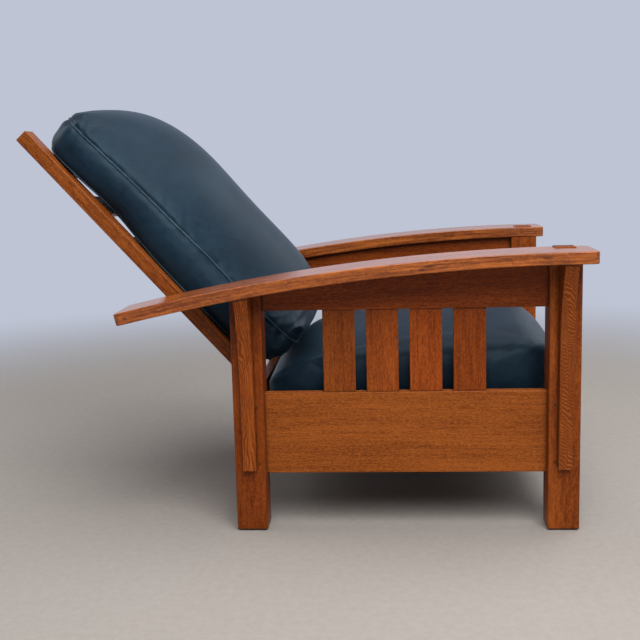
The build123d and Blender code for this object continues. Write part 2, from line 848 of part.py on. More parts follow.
def save_frame():
    for name, side in SIDES.items():
        for rear, place in ((False, "front"), (True, "rear")):
            save(mirror_side(make_leg(rear), side), f"leg_{place}_{name}")
            save(mirror_side(make_corbel(rear), side), f"corbel_{place}_{name}")
        save(mirror_side(make_arm(), side), f"arm_{name}")
        save(mirror_side(make_lower_side_rail(), side), f"side_rail_lower_{name}")
        save(mirror_side(make_upper_side_rail(), side), f"side_rail_upper_{name}")
        for n, start in enumerate(slat_starts()):
            save(mirror_side(make_side_slat(start), side), f"side_slat_{name}_{n + 1}")
    save(make_cross_rail(False), "rail_front")
    save(make_cross_rail(True), "rail_rear")
    pins = [rod(draw_pin_radius, *pin) for pin in side_pins() + cross_pins()]
    save(Compound(children=pins + [mirror(pin, about=Plane.YZ) for pin in pins]), "draw_pins")


def save_deck():
    save(make_deck_cross(False), "deck_front")
    save(make_deck_cross(True), "deck_rear")
    for name, side in SIDES.items():
        save(mirror_side(make_deck_side(), side), f"deck_{name}")
    save(make_webbing(), "deck_webbing")
    save(make_cleat(False), "cleat_front")
    save(make_cleat(True), "cleat_rear")
    save(Compound(children=cleat_screws(False, 0) + cleat_screws(True, 0)), "cleat_screws")


def save_back():
    for name, side in SIDES.items():
        save(mirror_side(make_stile(), side), f"back_stile_{name}")
        save(mirror_side(make_pivot_pin(), side), f"pivot_pin_{name}")
        save(mirror_side(make_washer(), side), f"pivot_washer_{name}")
        save(mirror_side(make_peg(), side), f"support_peg_{name}")
    for n, limits in enumerate(back_slat_limits()):
        save(make_back_slat(limits), f"back_slat_{n + 1}")


save_frame()
save_deck()
save_back()
save(make_seat_cushion(), "seat_cushion")
save(make_back_cushion(), "back_cushion")
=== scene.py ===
import json
from math import cos, pi, radians, sin
from random import Random

import bpy
import numpy as np
from mathutils import Matrix, Quaternion, Vector, noise
from mathutils.bvhtree import BVHTree


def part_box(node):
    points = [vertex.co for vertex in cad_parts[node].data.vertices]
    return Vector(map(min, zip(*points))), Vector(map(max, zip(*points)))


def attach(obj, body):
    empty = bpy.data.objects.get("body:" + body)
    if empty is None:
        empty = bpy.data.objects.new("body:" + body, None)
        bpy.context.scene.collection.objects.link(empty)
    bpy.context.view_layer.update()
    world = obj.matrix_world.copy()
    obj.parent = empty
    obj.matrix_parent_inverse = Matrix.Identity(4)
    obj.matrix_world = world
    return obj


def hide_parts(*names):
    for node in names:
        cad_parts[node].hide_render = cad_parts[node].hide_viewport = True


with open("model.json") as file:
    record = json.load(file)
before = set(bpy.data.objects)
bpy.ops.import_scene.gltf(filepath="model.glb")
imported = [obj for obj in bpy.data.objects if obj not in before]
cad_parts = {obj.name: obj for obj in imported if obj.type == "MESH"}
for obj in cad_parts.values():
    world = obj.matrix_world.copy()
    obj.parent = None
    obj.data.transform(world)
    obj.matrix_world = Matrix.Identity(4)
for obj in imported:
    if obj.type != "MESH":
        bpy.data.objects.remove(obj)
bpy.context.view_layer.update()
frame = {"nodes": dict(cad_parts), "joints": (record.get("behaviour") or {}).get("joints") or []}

# Lengths in metres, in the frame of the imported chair: +Z up, the chair faces -Y.
# The sitter's right hand, nearest to the camera, is on the -X side.
nodes = frame["nodes"]
joints = {joint["name"]: joint for joint in frame["joints"]}
across = Vector((1, 0, 0))
backward = Vector((0, 1, 0))
up = Vector((0, 0, 1))
up_the_back = Vector(joints["back_cushion_ride"]["axis"]).normalized()
down_the_seat = -Vector(joints["seat_lift_off"]["axis"]).normalized()

# Camera, from the photograph's perspective
camera_place = Vector((-2.4062, -0.1873, 0.7850))
camera_turn = radians(4.0)
camera_dip = radians(9.0)
camera_roll = radians(1.49)
camera_lens = 56.25
camera_sensor = 36.0

# Arms, bent to one long radius that is level over the front legs
front_leg_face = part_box("leg_front_right")[0].y
arm_top = 0.5985
arm_bow_radius = 4.2

# Oak, in linear colour
oak_light = Vector((0.400, 0.108, 0.016))
oak_dark = Vector((0.130, 0.027, 0.004))
# Dark glaze colour, also used for the painted shade in the joints
oak_glaze_and_shade = (0.016, 0.005, 0.002, 1)
oak_rubbed = (0.430, 0.150, 0.035, 1)
red_on_green_share = 0.6
shade_luck = (0.96, 1.04)
place_luck = (-3, 3)

# Oak's patterns, in grains per metre: along the grain, across the figure, into the board
streak_scale = (34.0, 520.0, 520.0)
fibre_scale = (60.0, 2400.0, 2400.0)
pore_scale = (110.0, 1300.0, 1300.0)
butt_scale = (1500.0, 260.0, 900.0)
tone_scale = (2.5, 16.0, 16.0)
band_scale = (4.0, 110.0, 60.0)
broad_scale = (7.0, 210.0, 210.0)
flake_scale = (150.0, 560.0, 260.0)
swirl_scale = (9.0, 22.0, 22.0)
ring_scale = (4.0, 62.0, 20.0)
sway_scale = (13.0, 34.0, 34.0)
patch_scale = (30.0, 90.0, 90.0)

# Where oak's patterns begin and end, on their noise from 0 to 1
pore_range = (0.58, 0.72)
flake_range = (0.42, 0.62)
butt_range = (0.40, 0.62)
ring_range = (0.35, 0.95)
ripple_range = (-0.5, 0.8)
patch_range = (0.35, 0.6)
end_range = (0.80, 0.95)
spot_range = (1.0, 0.2)

# How much each of oak's patterns does to its lightness, gloss and relief
mean_level = 0.36
tone_share = 0.7
band_share = 0.7
fibre_share = 0.6
flake_share = 0.40
pore_share = 0.34
spot_share = 0.75
end_share = 0.72
gloss_shares = {"base": 0.24, "streaks": 0.16, "pores": 0.12, "end": 0.25}
relief_shares = {"fibres": 0.35, "streaks": 0.45, "pores": 0.5}
oak_relief = {"Strength": 0.30, "Distance": 0.0004}

# Oak's lines, in metres
flake_slant = radians(9)
ring_sway = 0.050
ripple_sway = 0.050
ripple_pitch = 0.0078

# Oak's wear and painted shade: rubbed edges, and the joints darkened partly by dark glaze and partly by
# painted shade
rub_radius = 0.0025
rub_bend = (0.02, 0.16)
rub_share = 0.45
glaze_and_shade_reach = 0.010
glaze_and_shade_open = (0.30, 0.85)
glaze_and_shade_share = 0.80

# Dark specks and a knot in the near arm's edge: along its bow, across, depth, length, width
arm_spots = [
    (0.083, -0.430, -0.011, 0.017, 0.0035),
    (0.316, -0.430, -0.012, 0.022, 0.0040),
    (0.330, -0.430, -0.018, 0.012, 0.0025),
    (0.942, -0.430, -0.014, 0.006, 0.0040),
]
spot_breadth = 4

# Leather, in linear colour, and its patterns in cells per metre
leather_dark = (0.0040, 0.0100, 0.0175, 1)
leather_light = (0.0095, 0.0235, 0.0385, 1)
welt_light = (0.0480, 0.0800, 0.1050, 1)
leather_tint = (0.62, 0.84, 1.0, 1)
leather_sheen = (0.50, 0.78, 1.0, 1)
leather_tone_scale = (7.0, 7.0, 7.0)
leather_worn_scale = (60.0, 60.0, 60.0)
leather_crease_scale = (95.0, 95.0, 95.0)
leather_pebbles = 520.0
leather_pores = 1400.0
leather_shares = {"worn": 0.35, "tone": 0.75}
leather_range = (0.30, 0.80)
leather_relief_shares = {"pebbles": 0.6, "pores": 0.5, "creases": 1.6}
leather_relief = {"Strength": 0.22, "Distance": 0.0006}

# Fittings, in linear colour, and their patterns
steel_dark = (0.20, 0.18, 0.16, 1)
steel_light = (0.45, 0.43, 0.40, 1)
tarnish_scale = (160.0, 160.0, 160.0)
tarnish_range = (0.35, 0.65)
scratch_scale = (900.0, 2600.0, 900.0)
washer_dark = (0.012, 0.010, 0.008, 1)
washer_light = (0.040, 0.032, 0.026, 1)
mottle_scale = (240.0, 240.0, 240.0)
jute_dark = (0.13, 0.085, 0.040, 1)
jute_light = (0.42, 0.31, 0.17, 1)
jute_threads = 110.0
fuzz_scale = (500.0, 500.0, 500.0)
weave_share = 0.6
fuzz_share = 0.4

# Roughness: what a material's pattern adds, and the least that it has
leather_rough = (0.16, 0.34)
steel_rough = (0.30, 0.25)
washer_rough = (0.2, 0.5)
jute_rough = (0.15, 0.78)

# Cushions
voxel = 0.006
shrink = 0.006
shrink_rise = 0.030
pressure = 4.0
swell_frames = 20
swell_cap = 0.013
least_move = 0.00001
pin_width = 0.005
welt_radius = 0.0023
welt_stand_share = 0.25
welt_points = 240
welt_roundness = 4
seam_steps = 6
groove_depth = 0.0035
groove_width = 0.007
pucker_share = 0.5
pucker_depth_share = 0.35
pucker_spread = 4
pucker_scale = 42.0
top_fold_depth = 0.0024
low_fold_depth = 0.0030
corner_reach = 0.075
corner_fade = 0.030
corner_folds = 13
corner_turn = 3
end_depth = 0.0040
end_fade = 0.070
end_rise_share = 0.2
end_scale = (9.0, 46.0, 30.0)
seat_lift = 0.012
plump_shares = ((0.0, 0.12, 0.4, 0.68, 0.79), (0.0, 0.8, 1.0, 0.9, 0.0))

# Seams, as shares of the cushion's thickness along its length
back_front_seam = (0.447, 0.437, 0.424, 0.410, 0.387, 0.336)
back_rear_seam = (0.013, 0.013)
seat_top_seam = (0.70, 0.86, 0.86, 0.84, 0.74, 0.55)
seat_bottom_seam = (0.07, 0.07)

# Room, in linear colour
wall_colour = (0.515, 0.552, 0.656, 1)
floor_light = (0.37, 0.335, 0.305, 1)
floor_dark = (0.270, 0.243, 0.220, 1)
floor_pile = (55.0, 55.0, 55.0)
floor_reach = 9.0
floor_clear = 1.3
floor_faded = 3.4
room_colour = (0.92, 0.95, 1.0, 1)
room_light = 0.21

# Lamps: name, place, what it is turned to, size in metres, power in watts
lamps = [
    ("ceiling", (-0.5, -0.3, 3.0), (0, 0, 0.3), 3.2, 64),
    ("near side", (-2.5, -0.8, 2.8), (-0.2, 0, 0.3), 2.6, 112),
    ("far side", (2.0, -2.6, 2.6), (0.2, 0, 0.3), 3.0, 38),
    ("rear", (0.2, 3.0, 2.4), (0, 0, 0.4), 2.8, 24),
]


# Shader nodes


def join(tree, value, socket):
    """Links a socket to another one, or sets it to a value."""
    if isinstance(value, bpy.types.NodeSocket):
        tree.links.new(value, socket)
    else:
        socket.default_value = value


def add(tree, kind, inputs=None, **settings):
    """Adds a shader node, sets it up, and joins or fills the inputs that are given."""
    node = tree.nodes.new("ShaderNode" + kind)
    for key, value in settings.items():
        setattr(node, key, value)
    for key, value in (inputs or {}).items():
        join(tree, value, node.inputs[key])
    return node


def maths(tree, operation, first, second=0.0, third=0.0, clamp=False):
    values = {0: first, 1: second, 2: third}
    return add(tree, "Math", values, operation=operation, use_clamp=clamp).outputs[0]


def centred(tree, pattern):
    """A pattern from 0 to 1, moved to lie about 0."""
    return maths(tree, "SUBTRACT", pattern, 0.5)


def stretched(tree, vector, scale):
    """The vector with each part multiplied by a scale of its own."""
    return add(tree, "VectorMath", {0: vector, 1: scale}, operation="MULTIPLY").outputs[0]


def grainy(tree, vector, scale, detail=2.0, rough=0.5, warp=0.0):
    """Noise from 0 to 1 whose grains are stretched by a scale for each axis."""
    values = {"Vector": stretched(tree, vector, scale), "Scale": 1.0, "Detail": detail}
    values.update({"Roughness": rough, "Distortion": warp})
    return add(tree, "TexNoise", values).outputs[0]


def spread(tree, value, low, high, new_low=0.0, new_high=1.0):
    """A smooth step of a value from one range to another."""
    values = {"Value": value, "From Min": low, "From Max": high}
    values.update({"To Min": new_low, "To Max": new_high})
    return add(tree, "MapRange", values, interpolation_type="SMOOTHSTEP").outputs[0]


def blended(tree, share, first, second):
    """Two colours mixed: all of the first at a share of 0, all of the second at 1."""
    node = add(tree, "Mix", {0: share, 6: first, 7: second}, data_type="RGBA")
    return node.outputs[2]


def new_material(name):
    """A material with an empty tree, its shader and its output."""
    material = bpy.data.materials.new(name)
    material.use_nodes = True
    tree = material.node_tree
    tree.nodes.clear()
    shader = add(tree, "BsdfPrincipled")
    add(tree, "OutputMaterial", {"Surface": shader.outputs[0]})
    return material, tree, shader


def fill(tree, shader, **values):
    """Sets or joins a shader's inputs by their names, with underscores for spaces."""
    for key, value in values.items():
        join(tree, value, shader.inputs[key.replace("_", " ")])


def object_place(tree):
    return add(tree, "TexCoord").outputs["Object"]


# Oak


def oak_group():
    """Quarter-sawn oak in grain space: X along the grain, Y across the figure, Z into the board."""
    tree = bpy.data.node_groups.new("oak", "ShaderNodeTree")
    for name in ("Grain", "End", "Figure", "Ripple", "Fleck", "Streak", "Spot", "Light", "Dark"):
        kind = {"Grain": "Vector", "Light": "Color", "Dark": "Color"}.get(name, "Float")
        tree.interface.new_socket(name, in_out="INPUT", socket_type="NodeSocket" + kind)
    for name, kind in (("Color", "Color"), ("Roughness", "Float"), ("Height", "Float")):
        tree.interface.new_socket(name, in_out="OUTPUT", socket_type="NodeSocket" + kind)
    given = tree.nodes.new("NodeGroupInput").outputs
    grain = given["Grain"]
    streaks = grainy(tree, grain, streak_scale, detail=2.0, rough=0.6)
    fibres = grainy(tree, grain, fibre_scale, detail=2.0, rough=0.6)
    pores = spread(tree, grainy(tree, grain, pore_scale, detail=1.0), *pore_range)
    colour = oak_colour(tree, given, oak_level(tree, given, streaks, fibres, pores))
    rough = oak_gloss(tree, given, streaks, pores)
    height = oak_height(tree, streaks, fibres, pores)
    add_outputs(tree, colour, rough, height)
    return tree


def oak_colour(tree, given, level):
    """The wood's colour at a lightness, with its dark spots, its end grain, its wear and the painted
    shade in its joints.
    """
    colour = blended(tree, level, given["Dark"], given["Light"])
    spots = maths(tree, "MULTIPLY", given["Spot"], spot_share)
    colour = blended(tree, spots, colour, oak_glaze_and_shade)
    butt = grainy(tree, given["Grain"], butt_scale, detail=2.0, rough=0.6)
    butt = blended(tree, spread(tree, butt, *butt_range), oak_glaze_and_shade, given["Dark"])
    colour = blended(tree, maths(tree, "MULTIPLY", given["End"], end_share), colour, butt)
    return oak_wear_and_joint_shade(tree, given["Grain"], colour)


def oak_gloss(tree, given, streaks, pores):
    rough = maths(tree, "MULTIPLY_ADD", streaks, gloss_shares["streaks"], gloss_shares["base"])
    rough = maths(tree, "ADD", rough, maths(tree, "MULTIPLY", pores, gloss_shares["pores"]))
    return maths(tree, "ADD", rough, maths(tree, "MULTIPLY", given["End"], gloss_shares["end"]))


def oak_height(tree, streaks, fibres, pores):
    height = maths(tree, "MULTIPLY", streaks, relief_shares["streaks"])
    height = maths(tree, "MULTIPLY_ADD", fibres, relief_shares["fibres"], height)
    return maths(tree, "SUBTRACT", height, maths(tree, "MULTIPLY", pores, relief_shares["pores"]))


def oak_level(tree, given, streaks, fibres, pores):
    """How light the wood is, from 0 to 1: growth bands, streaks, ray flecks and pores."""
    grain = given["Grain"]
    tone = grainy(tree, grain, tone_scale)
    bands = grainy(tree, grain, band_scale, detail=2.0, rough=0.6, warp=0.3)
    broad = grainy(tree, grain, broad_scale, detail=3.0, rough=0.65, warp=0.4)
    turned = {"Vector": grain, "Angle": flake_slant}
    slanted = add(tree, "VectorRotate", turned, rotation_type="Z_AXIS").outputs[0]
    flakes = grainy(tree, slanted, flake_scale, detail=2.0, rough=0.6, warp=0.4)
    flakes = maths(tree, "MULTIPLY", spread(tree, flakes, *flake_range), given["Fleck"])
    level = maths(tree, "MULTIPLY_ADD", centred(tree, tone), tone_share, mean_level)
    added = ((bands, band_share), (streaks, 1.0), (fibres, fibre_share), (broad, given["Streak"]))
    for pattern, share in added:
        level = maths(tree, "MULTIPLY_ADD", centred(tree, pattern), share, level)
    level = maths(tree, "MULTIPLY_ADD", flakes, flake_share, level)
    level = maths(tree, "SUBTRACT", level, maths(tree, "MULTIPLY", pores, pore_share))
    rings = maths(tree, "MULTIPLY", growth_rings(tree, grain), given["Figure"])
    ripples = maths(tree, "MULTIPLY", ripple_lines(tree, grain), given["Ripple"])
    level = maths(tree, "SUBTRACT", level, rings)
    return maths(tree, "SUBTRACT", level, ripples, clamp=True)


def growth_rings(tree, grain):
    """Rings cut at a slant, which run along the grain and close in long tongues."""
    swirl = grainy(tree, grain, swirl_scale)
    parts = add(tree, "SeparateXYZ", {0: grain}).outputs
    sway = maths(tree, "MULTIPLY", centred(tree, swirl), ring_sway)
    warped = add(tree, "CombineXYZ", {0: parts[0], 1: maths(tree, "ADD", parts[1], sway), 2: parts[2]})
    wave = {"Vector": stretched(tree, warped.outputs[0], ring_scale), "Scale": 1.0}
    wave.update({"Distortion": 2.0, "Detail": 2.0, "Detail Scale": 1.4})
    rings = add(tree, "TexWave", wave, bands_direction="Y", wave_profile="SIN").outputs[1]
    return spread(tree, rings, *ring_range)


def ripple_lines(tree, grain):
    """Fine wavy lines that cross the grain at a slant, a few millimetres apart."""
    sway = grainy(tree, grain, sway_scale)
    parts = add(tree, "SeparateXYZ", {0: grain}).outputs
    along = maths(tree, "MULTIPLY_ADD", parts[1], -1.0, parts[0])
    along = maths(tree, "MULTIPLY_ADD", sway, ripple_sway, along)
    phase = maths(tree, "MULTIPLY", along, 2 * pi / ripple_pitch)
    return spread(tree, maths(tree, "SINE", phase), *ripple_range)


def oak_wear_and_joint_shade(tree, grain, colour):
    """Rubbed edges show lighter, and the joints are darkened, partly by dark glaze left in them and
    partly by painted shade.
    """
    soft = add(tree, "Bevel", {"Radius": rub_radius}, samples=4).outputs[0]
    true = add(tree, "NewGeometry").outputs["Normal"]
    bend = add(tree, "VectorMath", {0: soft, 1: true}, operation="DOT_PRODUCT").outputs["Value"]
    worn = spread(tree, maths(tree, "SUBTRACT", 1.0, bend), *rub_bend, 0.0, rub_share)
    patchy = spread(tree, grainy(tree, grain, patch_scale), *patch_range)
    worn = maths(tree, "MULTIPLY", worn, patchy)
    # Painted shade: ambient occlusion darkens the joints and recesses, standing in partly for dark glaze
    # and partly for shade
    near = add(tree, "AmbientOcclusion", {"Distance": glaze_and_shade_reach}, samples=6).outputs["AO"]
    glazed_and_shaded_joints = spread(tree, near, *glaze_and_shade_open, glaze_and_shade_share, 0.0)
    colour = blended(tree, worn, colour, oak_rubbed)
    return blended(tree, glazed_and_shaded_joints, colour, oak_glaze_and_shade)


def add_outputs(tree, *sockets):
    output = tree.nodes.new("NodeGroupOutput")
    for socket, place in zip(sockets, output.inputs):
        tree.links.new(socket, place)


def bent_place(tree, place):
    """A place beside the arms' bow: distance along it, side to side, and depth under its top."""
    parts = add(tree, "SeparateXYZ", {0: place}).outputs
    y = maths(tree, "SUBTRACT", parts[1], front_leg_face)
    z = maths(tree, "SUBTRACT", parts[2], arm_top - arm_bow_radius)
    turn = maths(tree, "ARCTAN2", y, z)
    squares = maths(tree, "ADD", maths(tree, "POWER", y, 2), maths(tree, "POWER", z, 2))
    reach = maths(tree, "SQRT", squares)
    along = maths(tree, "MULTIPLY", turn, arm_bow_radius)
    depth = maths(tree, "SUBTRACT", reach, arm_bow_radius)
    return add(tree, "CombineXYZ", {0: along, 1: parts[0], 2: depth}).outputs[0]


def grain_place(tree, along, figure_across, bent):
    """A place in grain space, from the object's own space."""
    place = object_place(tree)
    if bent:
        return bent_place(tree, place)
    turn = Matrix((along, figure_across, along.cross(figure_across))).to_euler("XYZ")
    return add(tree, "Mapping", {"Vector": place, "Rotation": turn}).outputs[0]


def speckle(tree, place, spots):
    """Long dark specks at places in grain space, from 0 to 1."""
    level = 0.0
    for along, across_it, depth, length, width in spots:
        away = add(tree, "VectorMath", {0: place, 1: (along, across_it, depth)}, operation="SUBTRACT")
        scale = (1 / length, 1 / (spot_breadth * width), 1 / width)
        near = add(tree, "VectorMath", {0: stretched(tree, away.outputs[0], scale)}, operation="LENGTH")
        level = maths(tree, "MAXIMUM", level, spread(tree, near.outputs["Value"], *spot_range))
    return level


def end_grain(tree, along):
    """How nearly the surface faces along the grain, from 0 to 1."""
    normal = add(tree, "TexCoord").outputs["Normal"]
    facing = add(tree, "VectorMath", {0: normal, 1: along}, operation="DOT_PRODUCT")
    return spread(tree, maths(tree, "ABSOLUTE", facing.outputs["Value"]), *end_range)


def oak_material(name, along, figure_across, shade=1.0, red=0.0, coat=0.0, bent=False, spots=(), **looks):
    """Oak for one piece, with its own patch of grain."""
    luck = Random(name)
    material, tree, shader = new_material("oak " + name)
    place = grain_place(tree, along, figure_across, bent)
    shift = [luck.uniform(*place_luck) for _ in range(3)]
    grain = add(tree, "Mapping", {"Vector": place, "Location": shift}).outputs[0]
    shade *= luck.uniform(*shade_luck)
    stain = Vector((1, 1 - red_on_green_share * red, 1 - red)) * shade
    light, dark = [tuple(colour * stain) + (1,) for colour in (oak_light, oak_dark)]
    group = add(tree, "Group", node_tree=oak_nodes)
    values = {"Grain": grain, "End": end_grain(tree, along), "Light": light, "Dark": dark}
    values.update({"Fleck": 1.0, "Streak": 0.7, "Figure": 0.0, "Ripple": 0.0})
    fill(tree, group, **{**values, "Spot": speckle(tree, place, spots), **looks})
    bump = add(tree, "Bump", {"Height": group.outputs["Height"], **oak_relief})
    colour, rough = group.outputs["Color"], group.outputs["Roughness"]
    fill(tree, shader, Base_Color=colour, Roughness=rough, Normal=bump.outputs[0])
    fill(tree, shader, Specular_IOR_Level=0.12, Coat_Weight=coat, Coat_Roughness=0.27, Coat_IOR=1.32)
    return material


arm_look = {"red": 0.0, "Figure": 0.16, "Streak": 2.8, "Fleck": 0.5, "coat": 1.0, "bent": True}

# What each oak piece's name starts with, where its grain and figure run, and how it looks
oak_pieces = [
    ("leg_front", up, across, {"shade": 0.96, "red": 0.2, "Figure": 0.10, "Fleck": 0.6}),
    ("leg_rear", up, across, {"shade": 0.82, "red": 0.3, "Figure": 0.10, "Fleck": 0.6}),
    ("corbel_front", up, backward, {"shade": 1.20, "Ripple": 0.75, "Fleck": 0.1}),
    ("corbel_rear", up, backward, {"shade": 1.30, "red": 0.1, "Figure": 0.40, "Fleck": 0.3}),
    ("arm_right", backward, across, {"shade": 1.16, "spots": arm_spots, **arm_look}),
    ("arm_left", backward, across, {"shade": 1.08, **arm_look}),
    ("side_rail_lower", backward, up, {"shade": 1.0, "Fleck": 1.2}),
    # The upper side rail is darker than the lower one partly as painted shade, for the arm's shadow on it
    ("side_rail_upper", backward, up, {"shade": 0.72, "red": 0.4, "Figure": 0.12}),
    ("side_slat_right_1", up, backward, {"shade": 0.84, "red": 0.4}),
    ("side_slat_right_2", up, backward, {"shade": 1.08, "red": 0.4}),
    ("side_slat_right_3", up, backward, {"shade": 0.98, "red": 0.3}),
    ("side_slat_right_4", up, backward, {"shade": 0.84, "red": 0.2}),
    ("side_slat_left", up, backward, {"shade": 0.92, "red": 0.3}),
    ("rail_", across, up, {"red": 0.1}),
    ("deck_right", backward, across, {"shade": 0.9}),
    ("deck_left", backward, across, {"shade": 0.9}),
    ("deck_front", across, backward, {"shade": 0.9}),
    ("deck_rear", across, backward, {"shade": 0.9}),
    ("cleat_", across, up, {"shade": 0.9}),
    ("back_stile", up_the_back, across, {"shade": 0.90, "Figure": 0.12, "Streak": 1.6, "Fleck": 0.5}),
    ("back_slat", across, up_the_back, {"shade": 0.9}),
    ("support_peg", across, up, {"shade": 0.9}),
    ("draw_pins", up, across, {"shade": 0.62, "Fleck": 0.0}),
]


def dress_oak():
    for name, node in nodes.items():
        for start, along, figure_across, look in oak_pieces:
            if name.startswith(start) and name != "cleat_screws":
                dress(node, oak_material(name, along, figure_across, **look))
                break


def dress(node, material):
    """Gives every material slot of an object the same material."""
    for slot in node.material_slots:
        slot.material = material
    if not node.material_slots:
        node.data.materials.append(material)


# Other materials


def leather_material(name, light):
    """Pebbled leather, darker and lighter in soft patches, with fine creases and pores."""
    material, tree, shader = new_material(name)
    place = object_place(tree)
    tone = grainy(tree, place, leather_tone_scale, detail=4.0, rough=0.55)
    worn = grainy(tree, place, leather_worn_scale, detail=3.0, rough=0.6)
    level = maths(tree, "MULTIPLY", tone, leather_shares["tone"])
    level = maths(tree, "MULTIPLY_ADD", worn, leather_shares["worn"], level, clamp=True)
    colour = blended(tree, spread(tree, level, *leather_range), leather_dark, light)
    bump = add(tree, "Bump", {"Height": leather_height(tree, place), **leather_relief})
    rough = maths(tree, "MULTIPLY_ADD", worn, *leather_rough)
    fill(tree, shader, Base_Color=colour, Roughness=rough, Normal=bump.outputs[0])
    fill(tree, shader, Specular_IOR_Level=0.15, Specular_Tint=leather_tint, Coat_Weight=0.0)
    fill(tree, shader, Sheen_Weight=0.06, Sheen_Roughness=0.40, Sheen_Tint=leather_sheen)
    return material


def leather_height(tree, place):
    cells = {"Vector": place, "Scale": leather_pebbles, "Randomness": 1.0}
    pebbles = add(tree, "TexVoronoi", cells, feature="SMOOTH_F1").outputs["Distance"]
    fine = {"Vector": place, "Scale": leather_pores}
    pores = add(tree, "TexVoronoi", fine, feature="DISTANCE_TO_EDGE").outputs["Distance"]
    creases = grainy(tree, place, leather_crease_scale, detail=4.0, rough=0.65, warp=1.5)
    height = maths(tree, "MULTIPLY", pores, leather_relief_shares["pores"])
    height = maths(tree, "MULTIPLY_ADD", pebbles, leather_relief_shares["pebbles"], height)
    return maths(tree, "MULTIPLY_ADD", creases, leather_relief_shares["creases"], height)


def metal_material():
    """Dull steel, patchily tarnished and scratched."""
    material, tree, shader = new_material("steel")
    place = object_place(tree)
    tarnish = grainy(tree, place, tarnish_scale, detail=3.0)
    colour = blended(tree, spread(tree, tarnish, *tarnish_range), steel_dark, steel_light)
    scratches = grainy(tree, place, scratch_scale, detail=1.0)
    bump = add(tree, "Bump", {"Height": scratches, "Strength": 0.12, "Distance": 0.0002})
    rough = maths(tree, "MULTIPLY_ADD", tarnish, *steel_rough)
    fill(tree, shader, Base_Color=colour, Roughness=rough, Normal=bump.outputs[0], Metallic=1.0)
    return material


def washer_material():
    """Dark, mottled fibre."""
    material, tree, shader = new_material("washer")
    place = object_place(tree)
    mottle = grainy(tree, place, mottle_scale, detail=3.0)
    colour = blended(tree, mottle, washer_dark, washer_light)
    bump = add(tree, "Bump", {"Height": mottle, "Strength": 0.2, "Distance": 0.0003})
    rough = maths(tree, "MULTIPLY_ADD", mottle, *washer_rough)
    fill(tree, shader, Base_Color=colour, Roughness=rough, Normal=bump.outputs[0])
    return material


def webbing_material():
    """Woven jute: two sets of threads across each other."""
    material, tree, shader = new_material("webbing")
    place = object_place(tree)
    threads = []
    for direction in ("X", "Y"):
        wave = {"Vector": place, "Scale": jute_threads, "Distortion": 0.6, "Detail": 1.0}
        threads.append(add(tree, "TexWave", wave, bands_direction=direction).outputs[1])
    weave = maths(tree, "MAXIMUM", *threads)
    fuzz = grainy(tree, place, fuzz_scale, detail=3.0)
    level = maths(tree, "MULTIPLY", weave, weave_share)
    level = maths(tree, "MULTIPLY_ADD", fuzz, fuzz_share, level)
    colour = blended(tree, level, jute_dark, jute_light)
    bump = add(tree, "Bump", {"Height": weave, "Strength": 0.6, "Distance": 0.0006})
    rough = maths(tree, "MULTIPLY_ADD", fuzz, *jute_rough)
    fill(tree, shader, Base_Color=colour, Roughness=rough, Normal=bump.outputs[0])
    return material


def dress_fittings():
    steel, washer, webbing = metal_material(), washer_material(), webbing_material()
    for name, node in nodes.items():
        if name.startswith("pivot_pin") or name == "cleat_screws":
            dress(node, steel)
        if name.startswith("pivot_washer"):
            dress(node, washer)
    dress(nodes["deck_webbing"], webbing)


# Cushions


def cushion_axes(node, along):
    """The cushion's own axes, X across, Y along, Z out of its base, and its size on them."""
    turn = Matrix((across, along, across.cross(along))).transposed()
    points = np.array([v.co for v in node.data.vertices]) @ np.array(turn)
    low, high = points.min(0), points.max(0)
    origin = turn @ Vector(((low[0] + high[0]) / 2, low[1], low[2]))
    return Matrix.Translation(origin) @ turn.to_4x4(), Vector(high - low)


def kept(obj):
    """The object's mesh with its modifiers worked out, and the modifiers taken off."""
    depsgraph = bpy.context.evaluated_depsgraph_get()
    mesh = bpy.data.meshes.new_from_object(obj.evaluated_get(depsgraph))
    obj.modifiers.clear()
    obj.data = mesh
    return mesh


def read_points(mesh, what):
    """The mesh's places or normals, one row for each vertex."""
    values = np.empty(len(mesh.vertices) * 3)
    mesh.vertices.foreach_get(what, values)
    return values.reshape(-1, 3)


def points_of(mesh):
    return read_points(mesh, "co")


def normals_of(mesh):
    return read_points(mesh, "normal")


def set_points(mesh, points):
    mesh.vertices.foreach_set("co", points.ravel())
    mesh.update()


def core(name, node, axes):
    """A remeshed copy of the CAD solid, a little smaller above its base, on its own axes."""
    mesh = node.data.copy()
    mesh.transform(axes.inverted())
    obj = bpy.data.objects.new(name, mesh)
    bpy.context.scene.collection.objects.link(obj)
    remesh = obj.modifiers.new("remesh", "REMESH")
    remesh.mode = "VOXEL"
    remesh.voxel_size = voxel
    mesh = kept(obj)
    points = points_of(mesh)
    above = np.clip(points[:, 2:] / shrink_rise, 0, 1)
    points -= shrink * above * normals_of(mesh)
    set_points(mesh, points)
    return obj


def seam_height(points, size, shares):
    """Height of a seam above the base at each point's place along the cushion."""
    steps = np.linspace(0, size.y, len(shares))
    return np.interp(points[:, 1], steps, np.array(shares) * size.z)


